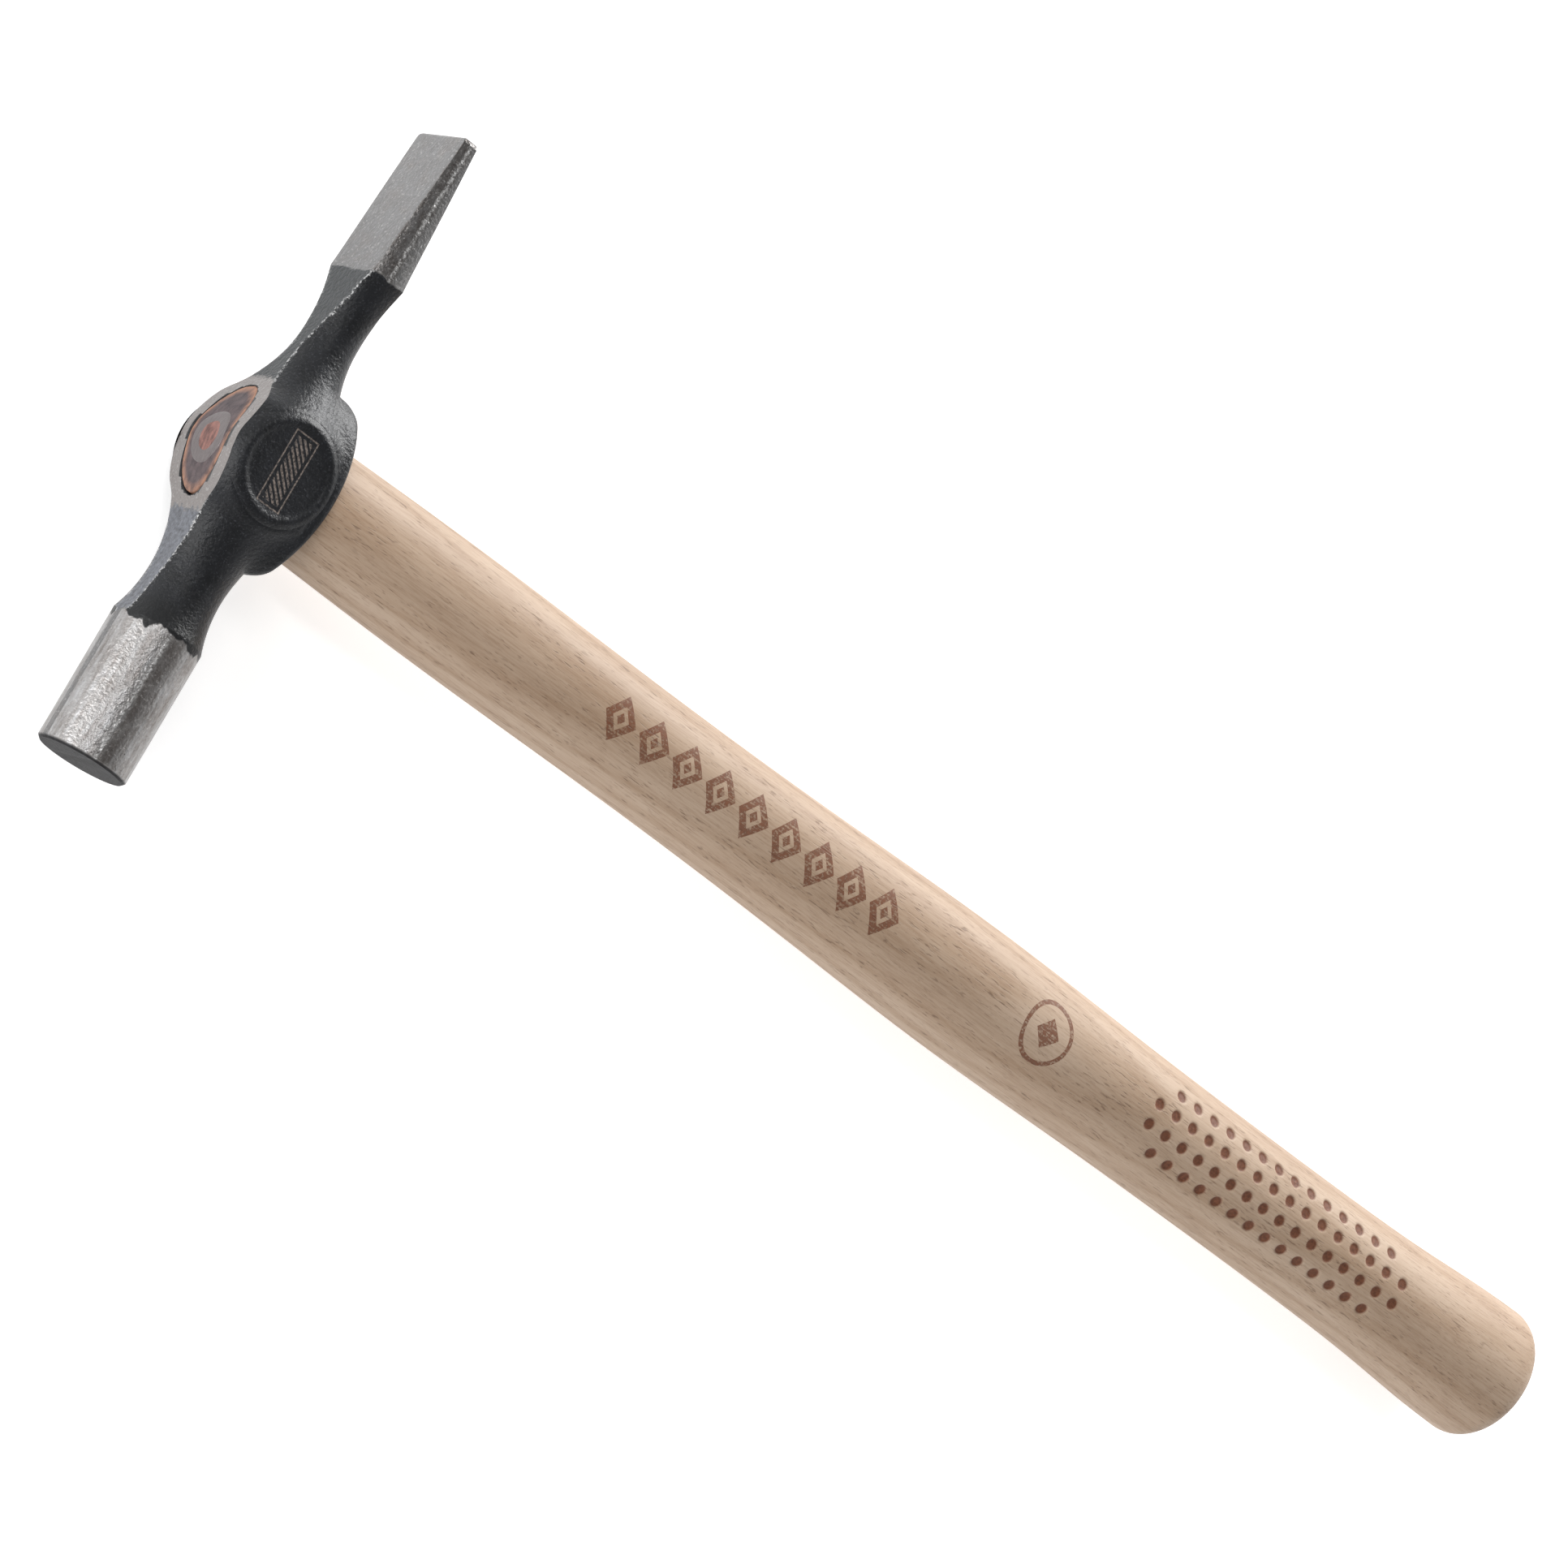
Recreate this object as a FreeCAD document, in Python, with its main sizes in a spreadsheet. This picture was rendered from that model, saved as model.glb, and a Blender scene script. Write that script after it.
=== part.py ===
import FreeCAD, Part
import math
import os
import Sketcher

# A light cross-pein (Warrington pattern) pin hammer, in millimetres.
#
# Working frame, before each sub-part gets its Placement:
#   origin  where the handle's axis crosses the head's axis, inside the eye
#   +X      along the handle, from the eye's ground crown to the butt
#   +Y      along the head, from the poll (round striking face) to the cross pein
#   +Z      out of the upper cheek
# The Placement then puts the origin under the middle of the hammer, on the
# surface that it lies on: +X still runs to the butt and +Z still points up.

DIMENSIONS = (
    # poll: the round striking end
    ("poll_radius", 7.5),
    ("poll_face_y", -52.0),
    ("poll_edge", 0.5),
    ("poll_shoulder_y", -29.3),
    ("poll_neck_radius", 24.4),
    # the turned barrel round the eye
    ("barrel_end_radius", 9.0),
    ("barrel_end_y", 9.9),
    ("barrel_radius", 12.4),
    # cross pein: the wedge end
    ("pein_neck_radius", 22.0),
    ("pein_shoulder_y", 33.4),
    ("pein_half_width", 7.05),
    ("pein_tip_y", 58.3),
    ("pein_corner", 0.9),
    ("pein_root_half", 3.2),
    ("pein_tip_half", 1.3),
    # flats along the top and the underside of the head, and the eye's crown
    ("crown_end_x", 7.05),
    ("crown_height", 9.65),
    ("poll_flat_radius", 32.0),
    ("pein_flat_radius", 68.0),
    ("poll_flat_half", 7.25),
    ("poll_clear_x", 8.0),
    ("flat_run_out", 1.7),
    ("pein_tip_drop", 0.25),
    ("pein_tip_radius", 2.6),
    # collar: the oval skirt of the eye, towards the handle
    ("collar_half_length", 15.2),
    ("collar_oval_y", 16.7),
    ("collar_oval_z", 9.9),
    ("collar_depth", 9.9),
    ("collar_arc_radius", 58.0),
    ("collar_corner", 2.6),
    # cheeks: a round boss on each, with a raised rim round a sunk disc
    ("cheek_half", 10.1),
    ("boss_radius", 7.8),
    ("boss_edge", 0.35),
    ("disc_radius", 6.9),
    ("disc_depth", 0.35),
    # eye: an oval hole, wider at the crown, that the handle's tongue fills
    ("eye_crown_y", 9.7),
    ("eye_crown_z", 5.6),
    ("eye_foot_y", 9.2),
    ("eye_foot_z", 5.3),
    # ring wedge, driven into the end grain of the tongue
    ("ring_top_radius", 4.4),
    ("ring_foot_radius", 3.9),
    ("ring_bore_radius", 2.3),
    ("ring_depth", 12.0),
    ("ring_offset_y", -0.5),
    # handle: oval behind the head, round from the waist to the butt
    ("shoulder_x", 8.4),
    ("shoulder_y", 9.7),
    ("shoulder_z", 8.9),
    ("swell_x", 34.0),
    ("swell_y", 10.0),
    ("swell_z", 9.3),
    ("waist_x", 80.0),
    ("waist_y", 9.85),
    ("waist_z", 9.5),
    ("rise_x", 118.0),
    ("rise_half", 10.3),
    ("palm_x", 159.0),
    ("palm_half", 11.1),
    ("grip_x", 205.0),
    ("grip_half", 10.5),
    ("throat_x", 240.0),
    ("throat_half", 10.5),
    ("flare_x", 264.0),
    ("flare_half", 10.95),
    ("butt_x", 283.0),
    ("butt_half", 11.9),
    ("end_x", 293.5),
    ("end_half", 11.9),
    ("butt_round", 4.0),
    # how far a cutting solid runs past the surface it cuts
    ("clearance", 2.0),
)

PIECES = ("head", "handle", "ring_wedge")

doc = FreeCAD.newDocument("pin_hammer")
sheet = doc.addObject("Spreadsheet::Sheet", "dims")
for row, (alias, size) in enumerate(DIMENSIONS, start=1):
    sheet.set(f"A{row}", alias)
    sheet.set(f"B{row}", str(size))
    sheet.setAlias(f"B{row}", alias)
doc.recompute()

ALONG_HANDLE = FreeCAD.Rotation(FreeCAD.Vector(1, 1, 1), 120)


def dim(alias):
    """One driving dimension, read back from the sheet."""
    return float(sheet.get(alias))


def cell(expression):
    """An expression of $aliases, written with the sheet's cells."""
    return expression.replace("$", "dims.")


def value(expression):
    """The number that an expression of $aliases gives."""
    return float(sheet.evalExpression(cell(expression)))


def add(kind, name, **expressions):
    """A feature of this kind, with properties bound to expressions of $aliases."""
    feature = doc.addObject(kind, name)
    bind(feature, **expressions)
    return feature


def bind(feature, **expressions):
    for name, expression in expressions.items():
        feature.setExpression(name, cell(expression))


def lay_along_handle(feature, start):
    """Turn a feature's own axis to +X, with its foot at the expression start."""
    feature.Placement = FreeCAD.Placement(FreeCAD.Vector(0, 0, 0), ALONG_HANDLE)
    feature.setExpression("Placement.Base.x", cell(start))


def combine(kind, name, base, tool):
    """A Part::Cut or Part::Common of two features."""
    feature = doc.addObject(kind, name)
    feature.Base = base
    feature.Tool = tool
    return feature


def fuse(name, *shapes):
    feature = doc.addObject("Part::MultiFuse", name)
    feature.Shapes = list(shapes)
    return feature


def origin_feature(body, role):
    """The plane or axis of a body's own origin that has this role."""
    for feature in body.Origin.OriginFeatures:
        if feature.Role == role:
            return feature
    raise ValueError(role)


def new_sketch(body, name):
    """An empty sketch on the body's XY plane, which holds both main axes."""
    sketch = body.newObject("Sketcher::SketchObject", name)
    sketch.AttachmentSupport = [(origin_feature(body, "XY_Plane"), "")]
    sketch.MapMode = "FlatFace"
    return sketch


def bound_constraint(sketch, expression, kind, *where):
    """A dimension of the sketch, held by an expression of $aliases."""
    index = sketch.addConstraint(Sketcher.Constraint(kind, *where, value(expression)))
    sketch.setExpression(f"Constraints[{index}]", cell(expression))


def arc_between(start, finish, radius):
    """An arc that bulges left of its travel, or right for a negative radius."""
    chord = finish - start
    half = chord.Length / 2
    left = FreeCAD.Vector(-chord.y, chord.x, 0).normalize()
    rise = abs(radius) - math.sqrt(radius * radius - half * half)
    middle = (start + finish) / 2 + left * math.copysign(rise, radius)
    return Part.Arc(start, middle, finish)


def outline(sketch, corners):
    """A closed outline through corners (x, y, radius), each an expression.

    The radius is that of the edge which leaves the corner: None for a straight
    edge, positive for an arc that bulges left of its travel, negative for right.
    A sketch keeps every arc anticlockwise, so an arc that bulges left starts at
    its far end.
    """
    points = [FreeCAD.Vector(value(x), value(y), 0) for x, y, _ in corners]
    first_end = []
    for index, (x, y, radius) in enumerate(corners):
        start = points[index]
        finish = points[(index + 1) % len(points)]
        if radius is None:
            sketch.addGeometry(Part.LineSegment(start, finish), False)
            first_end.append(1)
        else:
            sketch.addGeometry(arc_between(start, finish, value(radius)), False)
            first_end.append(2 if value(radius) > 0 else 1)
    for index, (x, y, radius) in enumerate(corners):
        following = (index + 1) % len(corners)
        last_end = 3 - first_end[index]
        sketch.addConstraint(
            Sketcher.Constraint("Coincident", index, last_end, following, first_end[following]))
        bound_constraint(sketch, x, "DistanceX", -1, 1, index, first_end[index])
        bound_constraint(sketch, y, "DistanceY", -1, 1, index, first_end[index])
        if radius is not None:
            bound_constraint(sketch, f"abs({radius})", "Radius", index)


def padded_outline(name, corners, thickness):
    """A body made by padding an outline evenly above and below the XY plane."""
    body = doc.addObject("PartDesign::Body", name)
    sketch = new_sketch(body, name + "_outline")
    outline(sketch, corners)
    pad = body.newObject("PartDesign::Pad", name + "_pad")
    pad.Profile = sketch
    pad.SideType = "Symmetric"
    bind(pad, Length=thickness)
    return body


def turned_outline(name, corners):
    """A body made by turning a half outline about the head's axis."""
    body = doc.addObject("PartDesign::Body", name)
    sketch = new_sketch(body, name + "_outline")
    outline(sketch, corners)
    turning = body.newObject("PartDesign::Revolution", name + "_turning")
    turning.Profile = sketch
    turning.ReferenceAxis = (sketch, ["V_Axis"])
    turning.Angle = 360
    return body


def oval(name, x, half_y, half_z):
    """An oval section square to the handle, widest along the head."""
    section = add("Part::Ellipse", name, MajorRadius=half_y, MinorRadius=half_z)
    lay_along_handle(section, x)
    return section


def oval_loft(name, stations):
    """A smooth solid through oval sections (x, half_y, half_z)."""
    loft = doc.addObject("Part::Loft", name)
    loft.Sections = [
        oval(f"{name}_section_{count}", *station) for count, station in enumerate(stations, start=1)]
    loft.Solid = True
    return loft


# --- head: turned poll, necks and barrel, with ground flats and an oval collar

CROWN_RISE = "($crown_height - $crown_end_x)"
CROWN_RADIUS = f"(($barrel_end_y ^ 2 + {CROWN_RISE} ^ 2) / (2 * {CROWN_RISE}))"
BARREL_RISE = "($barrel_radius - $barrel_end_radius)"
BARREL_ARC = f"(($barrel_end_y ^ 2 + {BARREL_RISE} ^ 2) / (2 * {BARREL_RISE}))"

turned_head = turned_outline("turned_head", (
    ("0", "$poll_face_y", None),
    ("$poll_radius - $poll_edge", "$poll_face_y", None),
    ("$poll_radius", "$poll_face_y + $poll_edge", None),
    ("$poll_radius", "$poll_shoulder_y", "$poll_neck_radius"),
    ("$barrel_end_radius", "-$barrel_end_y", f"-{BARREL_ARC}"),
    ("$barrel_end_radius", "$barrel_end_y", "$pein_neck_radius"),
    ("$pein_half_width", "$pein_shoulder_y", None),
    ("$pein_half_width", "$pein_tip_y - $pein_corner", "-$pein_corner"),
    ("$pein_half_width - $pein_corner", "$pein_tip_y", None),
    ("0", "$pein_tip_y", None),
))

# The flats: seen along Z, the head's outline without its collar.
head_flats = padded_outline("head_flats", (
    ("-$poll_clear_x", "$poll_face_y - $clearance", None),
    ("-$poll_clear_x", "$poll_shoulder_y - $flat_run_out", None),
    ("-$poll_flat_half", "$poll_shoulder_y", "-$poll_flat_radius"),
    ("-$crown_end_x", "-$barrel_end_y", CROWN_RADIUS),
    ("-$crown_end_x", "$barrel_end_y", "-$pein_flat_radius"),
    ("-$pein_root_half", "$pein_shoulder_y", None),
    ("-$pein_tip_half", "$pein_tip_y - $pein_tip_drop", "$pein_tip_radius"),
    ("$pein_tip_half", "$pein_tip_y - $pein_tip_drop", None),
    ("$pein_root_half", "$pein_shoulder_y", "-$pein_flat_radius"),
    ("$crown_end_x", "$barrel_end_y", None),
    ("$crown_end_x", "-$barrel_end_y", "-$poll_flat_radius"),
    ("$poll_flat_half", "$poll_shoulder_y", None),
    ("$poll_clear_x", "$poll_shoulder_y - $flat_run_out", None),
    ("$poll_clear_x", "$poll_face_y - $clearance", None),
), "2 * $cheek_half")
head_core = combine("Part::Common", "head_core", turned_head, head_flats)

COLLAR_FOOT = ("($collar_depth - $collar_arc_radius"
               " + sqrt($collar_arc_radius ^ 2 - ($collar_half_length - $collar_corner) ^ 2))")
collar_profile = padded_outline("collar_profile", (
    ("0", "-$collar_half_length", None),
    ("0", "$collar_half_length", None),
    (f"{COLLAR_FOOT} - $collar_corner", "$collar_half_length", "$collar_corner"),
    (COLLAR_FOOT, "$collar_half_length - $collar_corner", "$collar_arc_radius"),
    (COLLAR_FOOT, "$collar_corner - $collar_half_length", "$collar_corner"),
    (f"{COLLAR_FOOT} - $collar_corner", "-$collar_half_length", None),
), "4 * $collar_oval_z")
collar_oval = oval_loft("collar_oval", (
    ("-$clearance", "$collar_oval_y", "$collar_oval_z"),
    ("$collar_depth + $clearance", "$collar_oval_y", "$collar_oval_z"),
))
collar = combine("Part::Common", "collar", collar_profile, collar_oval)

# A round boss shows on each cheek: a raised rim round a sunk disc.
boss = add("Part::Cylinder", "cheek_boss", Radius="$boss_radius", Height="2 * $cheek_half")
bind(boss, **{"Placement.Base.z": "-$cheek_half"})
doc.recompute()
boss_rim = doc.addObject("Part::Chamfer", "cheek_boss_rim")
boss_rim.Base = boss
boss_rim.Edges = [
    (index, dim("boss_edge"), dim("boss_edge"))
    for index, edge in enumerate(boss.Shape.Edges, start=1) if edge.isClosed()]
upper_disc = add("Part::Cylinder", "upper_disc", Radius="$disc_radius", Height="$clearance")
bind(upper_disc, **{"Placement.Base.z": "$cheek_half - $disc_depth"})
lower_disc = add("Part::Cylinder", "lower_disc", Radius="$disc_radius", Height="$clearance")
bind(lower_disc, **{"Placement.Base.z": "$disc_depth - $cheek_half - $clearance"})

# The eye is an oval hole, wider at the crown, so the wedged tongue can't pull out.
eye_core = oval_loft("eye_core", (
    ("-$crown_height - $clearance", "$eye_crown_y", "$eye_crown_z"),
    ("$collar_depth + $clearance", "$eye_foot_y", "$eye_foot_z"),
))
closed_head = fuse("closed_head", head_core, boss_rim, collar)
eye_tools = fuse("eye_tools", eye_core, upper_disc, lower_disc)
head = combine("Part::Cut", "head", closed_head, eye_tools)

# --- ring wedge: a tapered steel ring, ground off flush with the crown

crown = add("Part::Cylinder", "crown", Radius=CROWN_RADIUS, Height="4 * $cheek_half")
bind(crown, **{
    "Placement.Base.x": f"{CROWN_RADIUS} - $crown_height",
    "Placement.Base.z": "-2 * $cheek_half"})
ring_cone = add("Part::Cone", "ring_cone", Radius1="$ring_top_radius", Radius2="$ring_foot_radius",
                Height="$ring_depth + $clearance")
lay_along_handle(ring_cone, "-$crown_height - $clearance")
ring_bore = add("Part::Cylinder", "ring_bore", Radius="$ring_bore_radius",
                Height="$ring_depth + 3 * $clearance")
lay_along_handle(ring_bore, "-$crown_height - 2 * $clearance")
for round_tool in (ring_cone, ring_bore):
    bind(round_tool, **{"Placement.Base.y": "$ring_offset_y"})
ring_blank = combine("Part::Cut", "ring_blank", ring_cone, ring_bore)
ring_wedge = combine("Part::Common", "ring_wedge", ring_blank, crown)

# --- handle: one length of ash, with a tongue that fills the eye

shaft = oval_loft("shaft", (
    ("$shoulder_x", "$shoulder_y", "$shoulder_z"),
    ("$swell_x", "$swell_y", "$swell_z"),
    ("$waist_x", "$waist_y", "$waist_z"),
    ("$rise_x", "$rise_half", "$rise_half"),
    ("$palm_x", "$palm_half", "$palm_half"),
    ("$grip_x", "$grip_half", "$grip_half"),
    ("$throat_x", "$throat_half", "$throat_half"),
    ("$flare_x", "$flare_half", "$flare_half"),
    ("$butt_x", "$butt_half", "$butt_half"),
    ("$end_x", "$end_half", "$end_half"),
))
doc.recompute()
rounded_shaft = doc.addObject("Part::Fillet", "rounded_shaft")
rounded_shaft.Base = shaft
rounded_shaft.Edges = [
    (index, dim("butt_round"), dim("butt_round"))
    for index, edge in enumerate(shaft.Shape.Edges, start=1)
    if edge.BoundBox.XMin > dim("butt_x")]
shouldered_shaft = combine("Part::Cut", "shouldered_shaft", rounded_shaft, collar)
tongue = combine("Part::Common", "tongue", eye_core, crown)
handle_blank = fuse("handle_blank", shouldered_shaft, tongue)
handle = combine("Part::Cut", "handle", handle_blank, ring_blank)
doc.recompute()

# --- place the finished pieces over the middle of the surface they lie on

for piece in (head, handle, ring_wedge):
    bind(piece, **{
        "Placement.Base.x": "($crown_height - $end_x) / 2",
        "Placement.Base.y": "-($pein_tip_y + $poll_face_y) / 2"})
doc.recompute()
lowest = min(doc.getObject(name).Shape.optimalBoundingBox().ZMin for name in PIECES)
for name in PIECES:
    doc.getObject(name).Placement.Base.z = -lowest
doc.recompute()

for feature in doc.Objects:
    if "Invalid" in feature.State or "Error" in feature.State:
        raise RuntimeError(f"{feature.Name}: {feature.State}")

STEEL_DENSITY = 7.85e-6
os.makedirs("parts", exist_ok=True)
for name in PIECES:
    shape = doc.getObject(name).Shape
    if shape.isNull() or not shape.isValid():
        raise RuntimeError(f"{name} has no valid shape")
    box = shape.optimalBoundingBox()
    print(name, len(shape.Solids), "solid", round(shape.Volume), "mm3",
          [round(edge, 2) for edge in (box.XMin, box.XMax, box.YMin, box.YMax, box.ZMin, box.ZMax)])
    shape.exportStep(f"parts/{name}.step")
print("head mass", round(head.Shape.Volume * STEEL_DENSITY, 4), "kg")
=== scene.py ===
import math

import bpy
import numpy as np
from mathutils import Matrix, Vector


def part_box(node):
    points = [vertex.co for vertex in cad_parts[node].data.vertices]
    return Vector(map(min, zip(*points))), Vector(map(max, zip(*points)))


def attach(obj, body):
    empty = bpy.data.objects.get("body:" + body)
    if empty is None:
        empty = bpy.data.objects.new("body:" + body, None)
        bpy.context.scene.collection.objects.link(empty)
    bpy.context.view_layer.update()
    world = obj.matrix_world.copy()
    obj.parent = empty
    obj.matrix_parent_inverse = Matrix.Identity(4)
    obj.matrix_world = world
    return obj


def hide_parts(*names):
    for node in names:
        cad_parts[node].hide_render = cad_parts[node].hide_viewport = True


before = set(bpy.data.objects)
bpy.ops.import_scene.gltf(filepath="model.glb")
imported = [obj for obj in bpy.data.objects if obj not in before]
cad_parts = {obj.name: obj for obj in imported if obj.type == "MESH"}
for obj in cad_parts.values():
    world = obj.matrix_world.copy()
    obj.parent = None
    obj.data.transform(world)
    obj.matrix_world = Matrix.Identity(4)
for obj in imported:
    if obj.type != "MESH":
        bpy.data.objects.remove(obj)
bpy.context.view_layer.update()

# A cross-pein pin hammer. Shapes are worked out in millimetres in a working
# frame whose origin is where the handle's axis crosses the head's: +X to the
# butt, +Y to the cross pein, +Z out of the upper cheek.
MM = 0.001
CROWN_HEIGHT = 9.65

head_low, head_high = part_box("head")
handle_low, handle_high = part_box("handle")
ORIGIN = Vector((
    handle_low.x + CROWN_HEIGHT * MM,
    (handle_low.y + handle_high.y) / 2,
    (head_low.z + head_high.z) / 2,
))
BUTT_X = (handle_high.x - ORIGIN.x) / MM
POLL_FACE_Y = (head_low.y - ORIGIN.y) / MM
PEIN_TIP_Y = (head_high.y - ORIGIN.y) / MM
CHEEK_HALF = (head_high.z - ORIGIN.z) / MM

# head, to match the frame's design
POLL_RADIUS = 7.5
POLL_EDGE = 0.5
POLL_SHOULDER_Y = -29.3
POLL_SHOULDER_HALF = 7.25
NECK_END = (8.0, 9.9)
POLL_NECK_ARC = 24.0
PEIN_NECK_ARC = 22.5
BARREL_END_Y = 9.9
BARREL_END_RADIUS = 9.1
BARREL_ARC = 16.0
CROWN_END_X = 7.05
POLL_FLAT_ARC = 32.0
PEIN_FLAT_ARC = 68.0
RUN_OUT_SLOPE = 0.44
PEIN_SHOULDER_Y = 33.2
PEIN_HALF_WIDTH = 7.05
PEIN_ROOT_HALF = 3.2
PEIN_TIP_HALF = 1.3
PEIN_CORNER = 0.9
PEIN_TIP_ROUND = 0.5
COLLAR_DEPTH = 9.9
COLLAR_HALF_LENGTH = 15.2
COLLAR_CORNER = 2.6
COLLAR_OVAL_Y = 16.7
COLLAR_OVAL_Z = 9.9
COLLAR_ARC = 58.0
COLLAR_INSET = 0.3
COLLAR_ROUNDING = 1.4
COLLAR_FILLET = 1.3
CHEEK_FLAT = 9.45
CHEEK_CLEARANCE = 0.1
CHEEK_ROUNDING = 0.8
BOSS_RADIUS = 7.8
BOSS_MARGIN = 1.2
BOSS_FADE = 0.8
LEAST_STRIP = 0.7
NECK_CREASE = 0.10
PEIN_CREASE = 0.45
WORN_WIDTH = 0.6
EYE_Y = 9.7
EYE_Z = 5.6
CROWN_RISE = CROWN_HEIGHT - CROWN_END_X
RIDGE_Y = 0.8
RIDGE_LIFT = 0.1
RIDGE_ROUNDING = 0.9
ARC_SHARE = 0.4
CROWN_RADIUS = (BARREL_END_Y ** 2 + CROWN_RISE ** 2) / (2 * CROWN_RISE)
RING_Y = -0.5
RING_OUTER = 4.4
RING_BORE = 2.3

# handle: oval sections (x, half thickness along Y, along Z)
SHAFT = (
    (8.0, 9.6, 8.8),
    (38.0, 10.05, 9.4),
    (80.0, 9.85, 9.6),
    (105.0, 9.98, 9.95),
    (130.0, 10.52, 10.52),
    (159.0, 11.1, 11.1),
    (190.0, 10.7, 10.7),
    (218.0, 10.48, 10.48),
    (245.0, 10.55, 10.55),
    (265.0, 11.0, 11.0),
    (281.0, 11.8, 11.8),
    (293.5, 12.0, 12.0),
)
BUTT_ROUND = 4.6
BUTT_DOME = 0.7

# burnt grip dots: a block of rows, without its four corners
DOT_FIRST_X = 196.2
DOT_PITCH_X = 4.1
DOT_COLUMNS = 16
DOT_ROWS = 4
DOT_PITCH_AROUND = 3.75
DOT_RADIUS = 0.98
DOT_DEPTH = 0.28
DOT_EDGE = 0.2

# plain burnt marks: a row of diamonds, then a ring round one more
MARK_FIRST_X = 68.0
MARK_PITCH = 7.4
MARK_COUNT = 9
MARK_SHAFT_RADIUS = 10.4
MARK_HALF_LENGTH = 3.3
MARK_HALF_WIDTH = 4.4
RING_MARK_X = 169.5
RING_MARK_OUTER = 5.3
RING_MARK_INNER = 4.5
RING_MARK_HEART = 2.6

# plain etched panel on the upper cheek: its frame, and the hatching inside
PANEL_HALF_X = 2.3
PANEL_HALF_Y = 6.2
PANEL_LINE = 0.25
PANEL_LOWEST_Z = 8.5
HATCH_HALF_X = 1.5
HATCH_HALF_Y = 5.4
HATCH_PITCH = 1.1
HATCH_START = 60.0


# --- shape helpers

def arc_profile(y, start, finish, radius, outward):
    """Height of an arc over y, through two (y, height) points."""
    start = np.array(start, float)
    finish = np.array(finish, float)
    chord = finish - start
    half = np.hypot(*chord) / 2
    normal = np.array((-chord[1], chord[0])) / (2 * half)
    side = -1.0 if outward else 1.0
    centre = (start + finish) / 2 + normal * side * math.sqrt(radius ** 2 - half ** 2)
    rise = np.sqrt(np.maximum(radius ** 2 - (y - centre[0]) ** 2, 0.0))
    return centre[1] - side * rise


def soft_min(a, b, blend):
    share = np.clip(0.5 + 0.5 * (b - a) / blend, 0, 1)
    return b * (1 - share) + a * share - blend * share * (1 - share)


def soft_max(a, b, blend):
    return -soft_min(-a, -b, blend)


def ripple(values, seed, pitch):
    """A smooth, repeatable wobble between about -1 and 1."""
    rng = np.random.default_rng(seed)
    total = np.zeros_like(values)
    for octave in range(3):
        frequency = 2 * math.pi * 2 ** octave / pitch * rng.uniform(0.8, 1.2)
        total += np.sin(values * frequency + rng.uniform(0, 6.28)) / 2 ** octave
    return total / 1.75


def smooth_curve(x, knots):
    """A natural cubic spline over x through (x, value) knots."""
    xs = np.array([knot[0] for knot in knots], float)
    ys = np.array([knot[1] for knot in knots], float)
    span = np.diff(xs)
    count = len(xs)
    system = np.eye(count)
    bends = np.zeros(count)
    for i in range(1, count - 1):
        system[i, i - 1:i + 2] = span[i - 1], 2 * (span[i - 1] + span[i]), span[i]
        bends[i] = 6 * ((ys[i + 1] - ys[i]) / span[i] - (ys[i] - ys[i - 1]) / span[i - 1])
    curve = np.linalg.solve(system, bends)
    at = np.clip(np.searchsorted(xs, x) - 1, 0, count - 2)
    width = span[at]
    right = (x - xs[at]) / width
    left = 1 - right
    return (left * ys[at] + right * ys[at + 1] + width ** 2 / 6 * (
        (left ** 3 - left) * curve[at] + (right ** 3 - right) * curve[at + 1]))


def grid_faces(rows, columns, first=0, flip=False):
    """Quads of a grid whose columns close into rings."""
    faces = []
    for row in range(rows - 1):
        for column in range(columns):
            right = (column + 1) % columns
            quad = (
                first + row * columns + column,
                first + row * columns + right,
                first + (row + 1) * columns + right,
                first + (row + 1) * columns + column,
            )
            faces.append(quad[::-1] if flip else quad)
    return faces


def make_piece(name, points, faces, attributes=None, crease_degrees=30):
    """A mesh object from points in the working frame, smooth but for its creases."""
    places = np.asarray(points, float) * MM + np.array(ORIGIN)
    mesh = bpy.data.meshes.new(name)
    mesh.from_pydata(places.tolist(), [], faces)
    mesh.update()
    for key, values in (attributes or {}).items():
        layer = mesh.attributes.new(key, "FLOAT", "POINT")
        layer.data.foreach_set("value", np.asarray(values, np.float32))
    mesh.shade_smooth()
    mesh.set_sharp_from_angle(angle=math.radians(crease_degrees))
    piece = bpy.data.objects.new(name, mesh)
    bpy.context.scene.collection.objects.link(piece)
    return piece


# --- head

def turned_radius(y):
    """Radius of the turned blank: poll, necks, barrel and pein."""
    neck_y, neck_radius = NECK_END
    radius = np.where(y < POLL_SHOULDER_Y, POLL_RADIUS, PEIN_HALF_WIDTH)
    poll_neck = arc_profile(y, (POLL_SHOULDER_Y, POLL_RADIUS), (-neck_y, neck_radius),
                            POLL_NECK_ARC, outward=False)
    pein_neck = arc_profile(y, (neck_y, neck_radius), (PEIN_SHOULDER_Y, PEIN_HALF_WIDTH),
                            PEIN_NECK_ARC, outward=False)
    barrel = arc_profile(y, (-BARREL_END_Y, BARREL_END_RADIUS), (BARREL_END_Y, BARREL_END_RADIUS),
                         BARREL_ARC, outward=True)
    share = np.clip((np.abs(y) - 7.0) / 4.0, 0, 1)
    share = share ** 2 * (3 - 2 * share)
    middle = np.where(y < 0, poll_neck, pein_neck) * share + barrel * (1 - share)
    inside = (y >= POLL_SHOULDER_Y) & (y <= PEIN_SHOULDER_Y)
    return np.where(inside, middle, radius)


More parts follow.
